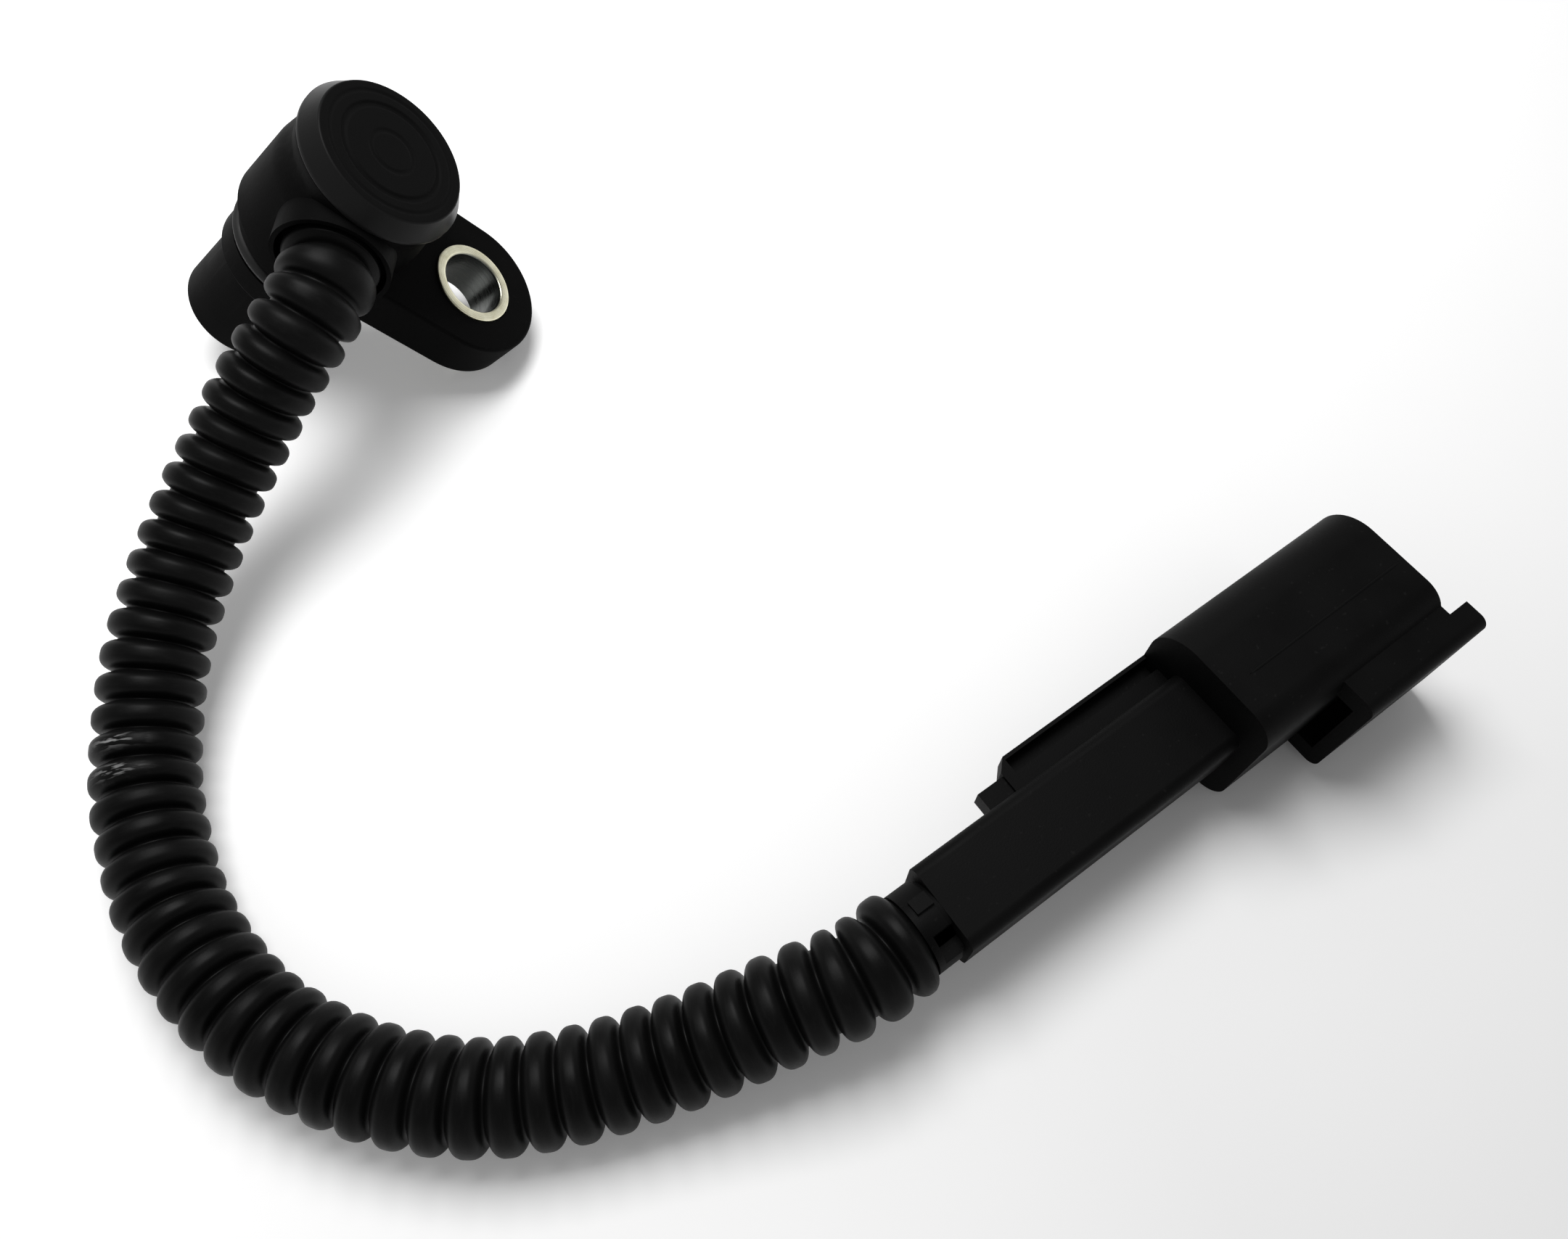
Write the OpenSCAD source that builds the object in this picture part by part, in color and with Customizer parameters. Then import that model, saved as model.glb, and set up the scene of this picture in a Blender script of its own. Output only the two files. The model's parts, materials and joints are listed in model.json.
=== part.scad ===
// Crankshaft position sensor: a bolted sensing head, a short corrugated conduit with two leads
// and a two-way male connector, lying on a flat surface. Millimetres, +Z up.
// The head stands on its nose rim and flange tip, and the connector lies on one side of its shroud.

/* [Sensing nose] */
// Radius of the nose that enters the engine block
nose_r = 6.5; // [6:0.1:7]
// Reach of the nose below the mating face
nose_l = 19.5; // [16:0.5:26]
// Thickness of the nose's closed end
nose_end = 1.3; // [0.8:0.1:2]
// Thickness of the nose's side wall
nose_wall = 1.3; // [0.8:0.1:1.6]
// Rounding of the nose's rim
nose_round = 0.6; // [0.2:0.1:1]
// Radius of the pilot collar above the seal groove
pilot_r = 7.6; // [7.2:0.1:8.2]
// Length of the pilot collar
pilot_l = 2.5; // [1.5:0.1:3]
// Length of the land below the seal groove
land_l = 2.8; // [1.5:0.1:3.5]

/* [Seal] */
// Thickness of the O-ring's section
o_ring_d = 1.6; // [1.2:0.1:2]
// How far the O-ring stands out of the pilot collar
o_ring_proud = 0.15; // [0:0.05:0.4]
// Spare width of the groove beside the O-ring
groove_spare = 0.6; // [0.2:0.1:1]

/* [Barrel and cap] */
// Radius of the barrel
barrel_r = 8.8; // [8.5:0.1:9.6]
// Height of the barrel above the mating face
barrel_h = 13.7; // [12.6:0.1:18]
// Depth of the waist under the cap
waist_depth = 0.4; // [0.1:0.1:0.8]
// Wall around the terminal chamber
chamber_wall = 1.8; // [1.2:0.1:2.2]
// Radius of the rear cap
cap_r = 9; // [8.6:0.1:9.8]
// Thickness of the rear cap's disc
cap_t = 2.7; // [2:0.1:4]
// Rounding of the rear cap's edge
cap_round = 0.6; // [0.3:0.1:1.8]
// Depth of the cap's skirt inside the barrel
cap_skirt = 2; // [1:0.1:2.5]
// Radius of the ring relief on the cap's face
cap_ring_r = 5.7; // [3:0.1:6.5]
// Depth of the ring relief on the cap's face
cap_ring_depth = 0.15; // [0.1:0.05:0.6]

/* [Flange] */
// Distance from the nose axis to the bolt hole
bolt_reach = 16.4; // [15.5:0.1:22]
// Half width of the flange and radius of its tip
flange_r = 8.5; // [7:0.1:8.5]
// Thickness of the flange
flange_t = 6; // [4:0.1:7]
// Rounding of the flange's edges
flange_round = 0.4; // [0.2:0.1:0.9]

/* [Compression limiter] */
// Outer radius of the limiter sleeve
limiter_r = 4.8; // [4.4:0.1:5.4]
// Radius of the bolt hole
bolt_hole_r = 3.6; // [3:0.1:3.9]
// How far the sleeve stands above the flange
limiter_proud = 0.3; // [0:0.05:0.6]

/* [Cable boss] */
// Distance from the nose axis to the boss's end
boss_reach = 9.8; // [9.4:0.1:13]
// Depth of the cup that takes the conduit
cup_depth = 2; // [1.5:0.1:3.5]
// Gap around the conduit in the cup
cup_gap = 0.6; // [0.3:0.1:1]
// Wall around the cup
cup_wall = 0.5; // [0.4:0.1:1]

/* [Coil and magnet] */
// Radius of the iron pole piece
pole_r = 2; // [1.5:0.1:2.4]
// Wall of the bobbin's core
core_wall = 0.9; // [0.6:0.1:1.1]
// Thickness of the bobbin's flanges
spool_t = 1.2; // [0.8:0.1:1.8]
// Height of the bobbin's top above the mating face
spool_top = 0.5; // [-1:0.1:1.5]
// Depth of the winding on the core
winding_t = 1.8; // [1:0.1:1.9]
// Radius of the magnet
magnet_r = 3.2; // [2.5:0.1:3.5]
// Height of the magnet
magnet_h = 5; // [3:0.1:6]
// Width of a head terminal
pin_w = 0.8; // [0.5:0.1:1]

/* [Conduit and leads] */
// Outer diameter of the conduit
conduit_od = 10; // [9.4:0.1:10.4]
// Inner diameter of the conduit
conduit_id = 7; // [6.8:0.1:7.4]
// Diameter of a lead's insulation
lead_d = 1.8; // [1.4:0.1:2]
// Distance between the two leads
lead_pitch = 3.6; // [3.4:0.1:3.8]

/* [Collar] */
// Radius of the collar between conduit and tail
collar_r = 4.1; // [3.9:0.1:5]
// Length of the collar's visible band
collar_l = 3; // [2:0.1:5]
// Length of the spigot inside the conduit
spigot_l = 5; // [3:0.1:5]
// Length of the plug inside the tail
plug_l = 4; // [2:0.1:5]
// Wall of the collar's spigot and plug
spigot_wall = 0.5; // [0.35:0.05:0.6]
// Depth of the collar's latch window, from its upper front edge
window_depth = 2.6; // [1:0.1:2.8]
// Length of the collar's latch window, next to the tail
window_l = 2.3; // [0.5:0.1:2.4]
// How far the collar's latch tab stands out
tab_rise = 0.3; // [0.1:0.1:0.6]
// Depth of the collar's groove next to the tail
neck_depth = 0.4; // [0.1:0.1:0.6]

/* [Connector tail] */
// Length of the tail
tail_l = 32.5; // [30:0.5:45]
// Width of the tail
tail_w = 8.9; // [8.4:0.1:11]
// Height of the tail
tail_h = 7.4; // [7.4:0.1:9]
// Rounding of the tail's long edges
tail_round = 1.2; // [0.4:0.1:1.8]
// Length of the seal bores
seal_bore_l = 7; // [6:0.1:8]
// Wall of a lead's seal
seal_wall = 0.5; // [0.35:0.05:0.55]
// Length of a lead's seal
seal_l = 5; // [4:0.1:5.5]

/* [Connector shroud] */
// Length of the shroud
shroud_l = 23.5; // [21:0.1:30]
// Width of the shroud
shroud_w = 14.3; // [13.6:0.1:18]
// Height of the shroud, which lies on the surface
shroud_h = 17.2; // [16.6:0.1:22]
// Wall of the shroud
shroud_wall = 1.5; // [1:0.1:1.8]
// Wall between tail and shroud
shroud_back = 2.5; // [2:0.1:4]
// Offset of the shroud's middle from the tail's middle, towards the clip rail
shroud_offset = 0.85; // [0:0.05:1.2]
// Corner rounding on the clip rail's side
rail_corner = 4.5; // [3:0.1:5]
// Corner rounding on the lock's side
lock_corner = 3; // [2:0.1:4]

/* [Lock bridge] */
// Length of the bridge
bridge_l = 15.9; // [8:0.1:20]
// How far the bridge reaches past the shroud's mouth
bridge_over = 2.4; // [0.5:0.1:4]
// Height of the bridge off the shroud's side
bridge_rise = 3.5; // [3:0.1:5]
// Width of the bridge
bridge_w = 14.4; // [12.4:0.1:15]
// Gap between the bridge's free end and the shroud's side
bridge_notch = 0.6; // [0.2:0.1:1]
// Thickness of the bridge's roof
bridge_roof = 1.5; // [1:0.1:2]
// Width of the passage under the bridge
passage_w = 9.6; // [7:0.1:10]
// Rounding of the bridge's outer edges
bridge_round = 1.2; // [0.4:0.1:1.4]

/* [Clip rail] */
// Length of the rail
rail_l = 18.3; // [10:0.1:22]
// How far the rail stands off the tail
rail_rise = 3.55; // [2.6:0.05:3.8]
// Height of the rail
rail_h = 2.8; // [2:0.1:4]
// Depth of the cored slot in the rail
rail_slot_depth = 1.6; // [0.6:0.1:1.8]
// Width of the cored slot in the rail
rail_slot_w = 1.5; // [0.8:0.1:1.8]
// Length of the lower step before the rail
step_l = 4.2; // [2:0.1:6]
// How far the lower step stands off the tail
step_rise = 2.1; // [1:0.1:2.4]

/* [Terminals and retainer] */
// Width of a blade
blade_w = 1.5; // [1.2:0.1:1.6]
// Thickness of a blade
blade_t = 0.6; // [0.5:0.05:0.8]
// How far a blade's tip stays behind the mouth
blade_recess = 5; // [3:0.1:8]
// Side of a terminal's crimp body
crimp_w = 2; // [1.8:0.1:2.4]
// Length of a terminal's crimp body
crimp_l = 6; // [5:0.1:7]
// Thickness of the retainer plate
retainer_t = 2; // [1.5:0.1:3]

/* [Placement] */
// Turn of the head about the vertical
head_turn = -38.4; // [-50:0.1:-30]
// Place of the tail's back end along the connector
connector_x = 9; // [8:0.5:20]
// Place of the tail's middle across the connector
connector_y = -97.3; // [-105:0.1:-95]

/* [Hidden] */
$fn = 64;
// Gap between pieces that slide or press into each other
fit = 0.05;
// Overlap that lets a cut run clean through a face
eps = 0.1;

// Nose and seal
groove_w = o_ring_d + groove_spare;
groove_r = pilot_r + o_ring_proud - o_ring_d - fit;
land_top = -(pilot_l + groove_w);
land_bottom = land_top - land_l;
land_drop = 1.2;
land_step = 0.25;
land_r = pilot_r - land_step;
coil_r = nose_r - nose_wall;
coil_floor = -(nose_l - nose_end);

// Barrel, cap and chamber
waist_start = 0.6;
waist_low = 0.85;
waist_from = waist_start * barrel_h;
waist_at = waist_low * barrel_h;
chamber_r = barrel_r - chamber_wall;
chamber_floor = spool_top + fit;
cap_ring_w = 0.8;

// Boss on the barrel's side, level with the cap's seam
cup_r = conduit_od / 2 + cup_gap;
boss_r = cup_r + cup_wall;
boss_z = barrel_h - boss_r;
cup_floor = max(boss_reach - cup_depth, chamber_r + cup_wall);
lead_room = 0.1;
pair_r = (lead_pitch + lead_d) / 2 + lead_room;
lead_hole_r = pair_r + lead_room;

// Coil
core_r = pole_r + fit + core_wall;
spool_r = coil_r - fit;
winding_r = min(core_r + fit + winding_t, spool_r);
spool_bottom = coil_floor + fit;
magnet_room = 0.35;
pin_reach = magnet_r + magnet_room + pin_w / 2;
pin_top = boss_z + pin_w;
pin_seat = spool_top - spool_t / 2;

// Tilt at which the nose rim and the flange tip touch the surface together
rim_run = (bolt_reach + flange_r - flange_round) - (nose_r - nose_round);
rim_drop = (nose_l - nose_round) + flange_round;
head_tilt = atan2(rim_drop, rim_run) + asin((nose_round - flange_round) / norm([rim_run, rim_drop]));
flange_dir = [cos(head_tilt) * cos(head_turn), cos(head_tilt) * sin(head_turn), -sin(head_tilt)];
side_dir = [-sin(head_turn), cos(head_turn), 0];
axis_dir = [sin(head_tilt) * cos(head_turn), sin(head_tilt) * sin(head_turn), cos(head_tilt)];
rest_height = flange_round + (bolt_reach + flange_r - flange_round) * sin(head_tilt)
    - flange_round * cos(head_tilt);

// The head is centred over the origin: reach is how far its rims go in a direction
head_rims = [
    [-(nose_l - nose_round) * axis_dir, axis_dir, nose_r],
    [bolt_reach * flange_dir + flange_round * axis_dir, axis_dir, flange_r],
    [bolt_reach * flange_dir + (flange_t - flange_round) * axis_dir, axis_dir, flange_r],
    [(barrel_h + cap_t - cap_round) * axis_dir, axis_dir, cap_r],
    [barrel_h * axis_dir, axis_dir, cap_r],
    [boss_z * axis_dir - boss_reach * side_dir, side_dir, boss_r]
];
function reach(e) = max([for (rim = head_rims) rim[0] * e + rim[2] * sqrt(max(0, 1 - pow(rim[1] * e, 2)))]);
function middle(e) = (reach(e) - reach(-e)) / 2;
head_at = [-middle([1, 0, 0]), -middle([0, 1, 0]), rest_height];
function head_point(p) = head_at + p.x * flange_dir + p.y * side_dir + p.z * axis_dir;

// Connector, along +X from the tail's back end
connector_at = [connector_x, connector_y, shroud_h / 2];
shroud_from = tail_l;
shroud_to = tail_l + shroud_l;
cavity_from = tail_l + shroud_back;
bridge_from = shroud_to + bridge_over - bridge_l;
lock_side = shroud_offset - shroud_w / 2;
bridge_root = shroud_wall / 2;
rail_from = tail_l - rail_l;
rail_chamfer = rail_rise / 3;
rail_rim = 0.4;
step_drop = 0.4;
collar_bore_r = pair_r;
plug_r = collar_bore_r + spigot_wall;
spigot_gap = 0.3;
spigot_r = conduit_id / 2 - spigot_gap;
neck_l = 0.5;
tab_l = 1.8;
tab_w = 1.5;
tab_turn = -18;
crimp_from = cavity_from - crimp_l;
seal_bore_from = crimp_from - seal_bore_l;
seal_r = lead_d / 2 + fit + seal_wall;
seal_from = crimp_from - (seal_bore_l + seal_l) / 2;

// Stops of the conduit's centreline between boss and collar, as [x, y, rise above lying flat]
route_stops = [
    [-5.6, -12.5, 18], [-9.6, -14.5, 16.7], [-14.5, -15.8, 14], [-19, -17.3, 11.3], [-23.5, -19.4, 9],
    [-28.5, -22.3, 6.7], [-33.5, -26.2, 4.7], [-38.3, -31, 3], [-42.2, -36.5, 1.5], [-45.2, -42.5, 0.7],
    [-47, -49, 0.3], [-47.9, -55.5, 0], [-47.4, -62.2, 0], [-45.7, -68.9, 0], [-42.4, -75.3, 0],
    [-38, -81, 0], [-32.4, -86, 0], [-25.8, -89.6, 0], [-18.9, -92.2, 0.4], [-12.2, -94.2, 1.4],
    [-6, -95.8, 2.7]
];
route_steps = 3;
end_straight = 1;
collar_straight = spigot_l + end_straight;
boss_stops = [for (y = [cup_floor, cup_floor + end_straight, boss_reach]) head_point([0, -y, boss_z])];
collar_stops = [for (x = [collar_straight, end_straight, 0]) connector_at - [collar_l + x, 0, 0]];
stops = concat(boss_stops, [for (s = route_stops) [s.x, s.y, s.z + conduit_od / 2]], collar_stops);
last_stop = len(stops) - 1;
function stop(i) = i < 0 ? 2 * stops[0] - stops[1]
    : i > last_stop ? 2 * stops[last_stop] - stops[last_stop - 1] : stops[i];
// Smooth curve through the stops b and c, with a and d beside them
function between(a, b, c, d, t) = 0.5 * (2 * b + (c - a) * t + (2 * a - 5 * b + 4 * c - d) * t * t
    + (3 * b - a - 3 * c + d) * t * t * t);
route = concat(
    [for (i = [0 : last_stop - 1]) for (k = [0 : route_steps - 1])
        between(stop(i - 1), stop(i), stop(i + 1), stop(i + 2), k / route_steps)],
    [stops[last_stop]]
);
lead_route = concat(
    [head_point([0, -(pin_reach + pin_w / 2), boss_z])],
    route,
    [connector_at + [crimp_from, 0, 0]]
);

// Sweep of a ring along a route: the ring's first axis is level and the second points up
function unit(a) = a / norm(a);
function heading(p, i) = unit(p[min(i + 1, len(p) - 1)] - p[max(i - 1, 0)]);
function level_axis(t) = unit(cross([0, 0, 1], t));
function at_angle(t, a) = cos(a) * level_axis(t) + sin(a) * cross(t, level_axis(t));
full_turn = 360;
function ring(c, t, r, sides) = [for (k = [0 : sides - 1]) c + r * at_angle(t, full_turn * k / sides)];
function tube_points(p, along, r, sides) =
    [for (i = [0 : len(p) - 1]) each ring(p[i], heading(along, i), r, sides)];
// The two leads turn from the flange's direction at the head to upright in the connector
function lead_path(side) = [
    for (i = [0 : len(lead_route) - 1])
    let (part_way = min(1, max(0, (i - 1) / (len(lead_route) - 3))))
    lead_route[i] + side * lead_pitch / 2
        * at_angle(heading(lead_route, i), -head_tilt + (90 + head_tilt) * part_way)
];

black_plastic = [0.09, 0.09, 0.1];
conduit_black = [0.07, 0.07, 0.08];

// Places a shape drawn about the nose axis, with X along the flange and Z towards the cap
module in_head() {
    translate(head_at)
        rotate([0, 0, head_turn])
            rotate([0, head_tilt, 0])
                children();
}

// Places a shape drawn from the tail's back end, with X towards the mating half
module in_connector() {
    translate(connector_at)
        children();
}

// Carries an outline of width and height along X
module along_x(length) {
    rotate([90, 0, 90])
        linear_extrude(height = length)
            children();
}

// Half outline of a disc with rounded rims, for turning or for one side of a bar
module soft_edge(w, h, r) {
    square([w - r, h]);
    translate([0, r])
        square([w, h - 2 * r]);
    for (y = [r, h - r])
        translate([w - r, y])
            circle(r);
}

// Rectangle about the origin with one corner radius at -X and another at +X
module soft_rectangle(w, h, r_low, r_high) {
    translate([-w / 2 + r_low, -h / 2])
        square([w - r_low - r_high, h]);
    for (side = [[-1, r_low], [1, r_high]]) {
        r = side[1];
        x = side[0] * (w / 2 - r);
        translate([min(x, x + side[0] * r), -h / 2 + r])
            square([r, h - 2 * r]);
        for (y = [-1, 1])
            translate([x, y * (h / 2 - r)])
                circle(r);
    }
}

// Turned outline of nose, land, pilot collar and waisted barrel
module body_outline() {
    difference() {
        union() {
            translate([0, -nose_l])
                soft_edge(nose_r, nose_l, nose_round);
            polygon([
                [0, land_bottom - land_drop],
                [nose_r, land_bottom - land_drop],
                [land_r, land_bottom],
                [land_r, land_top],
                [groove_r, land_top],
                [groove_r, -pilot_l],
                [pilot_r, -pilot_l],
                [pilot_r, 0],
                [barrel_r, 0],
                [barrel_r, waist_from],
                [barrel_r - waist_depth, waist_at],
                [cap_r - fit, barrel_h],
                [0, barrel_h]
            ]);
        }
        translate([groove_r, land_top])
            square([pilot_r, groove_w]);
    }
}

// Flange tongue: a rounded bar from the axis to the bolt hole with a turned tip
module flange() {
    translate([bolt_reach, 0, 0])
        rotate_extrude()
            soft_edge(flange_r, flange_t, flange_round);
    along_x(bolt_reach)
        for (m = [0, 1])
            mirror([m, 0])
                soft_edge(flange_r, flange_t, flange_round);
}

module sensor_housing() {
    color(black_plastic)
        in_head()
            difference() {
                union() {
                    rotate_extrude()
                        body_outline();
                    flange();
                    translate([0, 0, boss_z])
                        rotate([90, 0, 0])
                            cylinder(r = boss_r, h = boss_reach);
                }
                translate([0, 0, coil_floor])
                    cylinder(r = coil_r, h = barrel_h - coil_floor);
                translate([0, 0, chamber_floor])
                    cylinder(r = chamber_r, h = barrel_h);
                translate([0, -cup_floor, boss_z])
                    rotate([90, 0, 0])
                        cylinder(r = cup_r, h = boss_reach - cup_floor + eps);
                translate([0, 0, boss_z])
                    rotate([90, 0, 0])
                        cylinder(r = lead_hole_r, h = boss_reach);
                translate([bolt_reach, 0, -eps])
                    cylinder(r = limiter_r + fit, h = flange_t + 2 * eps);
            }
}

module rear_cap() {
    color(black_plastic)
        in_head()
            difference() {
                union() {
                    translate([0, 0, barrel_h])
                        rotate_extrude()
                            intersection() {
                                translate([0, -cap_t])
                                    soft_edge(cap_r, 2 * cap_t, cap_round);
                                square([cap_r, cap_t]);
                            }
                    translate([0, 0, barrel_h - cap_skirt])
                        cylinder(r = chamber_r - fit, h = cap_skirt + eps);
                }
                translate([0, 0, barrel_h + cap_t - cap_ring_depth])
                    difference() {
                        cylinder(r = cap_ring_r, h = cap_ring_depth + eps);
                        translate([0, 0, -eps])
                            cylinder(r = cap_ring_r - cap_ring_w, h = cap_ring_depth + 3 * eps);
                    }
            }
}

module compression_limiter() {
    color([0.78, 0.72, 0.52])
        in_head()
            translate([bolt_reach, 0, 0])
                difference() {
                    cylinder(r = limiter_r, h = flange_t + limiter_proud);
                    translate([0, 0, -eps])
                        cylinder(r = bolt_hole_r, h = flange_t + limiter_proud + 2 * eps);
                }
}

module o_ring() {
    color([0.05, 0.05, 0.05])
        in_head()
            translate([0, 0, -pilot_l - groove_w / 2])
                rotate_extrude()
                    translate([groove_r + fit + o_ring_d / 2, 0])
                        circle(d = o_ring_d);
}

module pole_piece() {
    color([0.5, 0.5, 0.52])
        in_head()
            translate([0, 0, coil_floor])
                cylinder(r = pole_r, h = spool_top - coil_floor);
}

module magnet() {
    color([0.3, 0.3, 0.32])
        in_head()
            translate([0, 0, spool_top])
                cylinder(r = magnet_r, h = magnet_h);
}

module coil_bobbin() {
    color([0.75, 0.72, 0.62])
        in_head()
            difference() {
                union() {
                    for (z = [spool_bottom, spool_top - spool_t])
                        translate([0, 0, z])
                            cylinder(r = spool_r, h = spool_t);
                    translate([0, 0, spool_bottom])
                        cylinder(r = core_r, h = spool_top - spool_bottom);
                }
                translate([0, 0, spool_bottom - eps])
                    cylinder(r = pole_r + fit, h = spool_top - spool_bottom + 2 * eps);
                for (side = [-1, 1])
                    pin_bar(side, pin_w + 2 * fit);
            }
}

module coil_winding() {
    color([0.72, 0.36, 0.16])
        in_head()
            translate([0, 0, spool_bottom + spool_t + fit])
                difference() {
                    wound = spool_top - spool_bottom - 2 * spool_t - 2 * fit;
                    cylinder(r = winding_r, h = wound);
                    translate([0, 0, -eps])
                        cylinder(r = core_r + fit, h = wound + 2 * eps);
                }
}

// Upright bar of a head terminal, from its seat in the bobbin to its lead
module pin_bar(side, w) {
    translate([side * lead_pitch / 2 - w / 2, -pin_reach - w / 2, pin_seat])
        cube([w, w, pin_top - pin_seat]);
}

module head_terminal(side) {
    color([0.8, 0.66, 0.3])
        in_head()
            pin_bar(side, pin_w);
}

module swept_tube(p, r_out, r_in, sides) {
    rings = len(p);
    flat_r_in = r_in / cos(full_turn / 2 / sides);
    points = concat(tube_points(p, p, r_out, sides), tube_points(p, p, flat_r_in, sides));
    inner = rings * sides;
    faces = concat(
        [for (i = [0 : rings - 2]) for (k = [0 : sides - 1])
            let (a = i * sides + k, b = i * sides + (k + 1) % sides)
            each [[a, a + sides, b], [b, a + sides, b + sides],
                [inner + a, inner + b, inner + a + sides],
                [inner + b, inner + b + sides, inner + a + sides]]],
        [for (k = [0 : sides - 1])
            let (b = (k + 1) % sides)
            each [[k, b, inner + k], [b, inner + b, inner + k]]],
        [for (k = [0 : sides - 1])
            let (e = (rings - 1) * sides, b = (k + 1) % sides)
            each [[e + k, inner + e + k, e + b], [e + b, inner + e + k, inner + e + b]]]
    );
    polyhedron(points, faces);
}

module swept_rod(p, along, r, sides) {
    rings = len(p);
    end = (rings - 1) * sides;
    faces = concat(
        [for (i = [0 : rings - 2]) for (k = [0 : sides - 1])
            let (a = i * sides + k, b = i * sides + (k + 1) % sides)
            each [[a, a + sides, b], [b, a + sides, b + sides]]],
        [[for (k = [0 : sides - 1]) k]],
        [[for (k = [sides - 1 : -1 : 0]) end + k]]
    );
    polyhedron(tube_points(p, along, r, sides), faces);
}

module lead_wire(side, tint) {
    color(tint)
        swept_rod(lead_path(side), lead_route, lead_d / 2, 8);
}

module conduit() {
    color(conduit_black)
        swept_tube(route, conduit_od / 2, conduit_id / 2, 12);
}

module conduit_collar() {
    color(black_plastic)
        in_connector()
            rotate([0, 90, 0])
                difference() {
                    union() {
                        translate([0, 0, -collar_l])
                            cylinder(r = collar_r, h = collar_l - neck_l);
                        translate([0, 0, -collar_l])
                            cylinder(r = collar_r - neck_depth, h = collar_l);
                        rotate([0, 0, tab_turn])
                            translate([-collar_r - tab_rise, -tab_w / 2, -neck_l - tab_l])
                                cube([collar_r - collar_bore_r, tab_w, tab_l]);
                        translate([0, 0, -collar_l - spigot_l])
                            cylinder(r = spigot_r, h = spigot_l + eps);
                        translate([0, 0, -eps])
                            cylinder(r = plug_r, h = plug_l + eps);
                    }
                    translate([0, 0, -collar_l - spigot_l - eps])
                        cylinder(r = collar_bore_r, h = spigot_l + collar_l + plug_l + 2 * eps);
                    translate([-collar_r, -collar_r, -window_l])
                        cube([window_depth, window_depth, window_l]);
                }
}

// Arch of the lock bridge, rooted in the shroud's side wall
module bridge_section() {
    difference() {
        translate([lock_side - bridge_rise / 2 + bridge_root / 2, 0])
            soft_rectangle(bridge_rise + bridge_root, bridge_w, bridge_round, fit);
        translate([lock_side - bridge_rise + bridge_roof, -passage_w / 2])
            square([bridge_rise, passage_w]);
    }
}

module shroud_section(inset) {
    translate([shroud_offset, 0])
        soft_rectangle(shroud_w - 2 * inset, shroud_h - 2 * inset, lock_corner - inset, rail_corner - inset);
}

// Clip rail on the tail's side, with a cored slot and a lower step behind it
module clip_rail() {
    difference() {
        union() {
            translate([rail_from, 0, -rail_h / 2])
                linear_extrude(height = rail_h)
                    polygon([
                        [-rail_chamfer, 0],
                        [-rail_chamfer, tail_w / 2 + rail_rise - rail_chamfer],
                        [0, tail_w / 2 + rail_rise],
                        [rail_l, tail_w / 2 + rail_rise],
                        [rail_l, 0]
                    ]);
            translate([rail_from - step_l, 0, -rail_h / 2])
                cube([step_l, tail_w / 2 + step_rise, rail_h - step_drop]);
        }
        translate([rail_from, tail_w / 2 + rail_rise - rail_slot_w - rail_rim, rail_h / 2 - rail_slot_depth])
            cube([rail_l, rail_slot_w, rail_slot_depth + eps]);
    }
}

module connector_housing() {
    color(black_plastic)
        in_connector()
            difference() {
                union() {
                    along_x(tail_l + eps)
                        soft_rectangle(tail_w, tail_h, tail_round, tail_round);
                    translate([shroud_from, 0, 0])
                        along_x(shroud_l)
                            shroud_section(0);
                    translate([bridge_from, 0, 0])
                        along_x(bridge_l)
                            bridge_section();
                    clip_rail();
                }
                translate([cavity_from, 0, 0])
                    along_x(shroud_l)
                        shroud_section(shroud_wall);
                translate([shroud_to, lock_side - bridge_notch, -bridge_w])
                    cube([bridge_l, shroud_w, 2 * bridge_w]);
                translate([-eps, 0, 0])
                    rotate([0, 90, 0])
                        cylinder(r = plug_r + fit, h = seal_bore_from + eps);
                for (side = [-1, 1])
                    translate([0, 0, side * lead_pitch / 2]) {
                        translate([seal_bore_from - eps, 0, 0])
                            rotate([0, 90, 0])
                                cylinder(r = seal_r + fit, h = seal_bore_l + eps);
                        crimp_box(crimp_w / 2 + fit, crimp_l + eps);
                    }
            }
}

// Square body of a terminal, or the pocket for it
module crimp_box(half, length) {
    translate([crimp_from, -half, -half])
        cube([length, 2 * half, 2 * half]);
}

module blade_terminal(side) {
    tip = shroud_to - blade_recess;
    color([0.72, 0.7, 0.66])
        in_connector()
            translate([0, 0, side * lead_pitch / 2]) {
                crimp_box(crimp_w / 2 - fit, crimp_l - fit);
                translate([cavity_from - eps, blade_t / 2, 0])
                    rotate([90, 0, 0])
                        linear_extrude(height = blade_t)
                            polygon([
                                [0, -blade_w / 2],
                                [tip - cavity_from - blade_w / 2, -blade_w / 2],
                                [tip - cavity_from, -blade_w / 6],
                                [tip - cavity_from, blade_w / 6],
                                [tip - cavity_from - blade_w / 2, blade_w / 2],
                                [0, blade_w / 2]
                            ]);
            }
}

module wire_seal(side) {
    color([0.55, 0.2, 0.12])
        in_connector()
            translate([seal_from, 0, side * lead_pitch / 2])
                rotate([0, 90, 0])
                    difference() {
                        cylinder(r = seal_r, h = seal_l);
                        translate([0, 0, -eps])
                            cylinder(r = lead_d / 2 + fit, h = seal_l + 2 * eps);
                    }
}

module secondary_lock() {
    color([0.12, 0.12, 0.13])
        in_connector()
            difference() {
                translate([cavity_from, 0, 0])
                    along_x(retainer_t)
                        shroud_section(shroud_wall + fit);
                for (side = [-1, 1])
                    translate([cavity_from - eps, 0, side * lead_pitch / 2])
                        along_x(retainer_t + 2 * eps)
                            square([blade_t + 2 * fit, blade_w + 2 * fit], center = true);
            }
}

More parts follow.
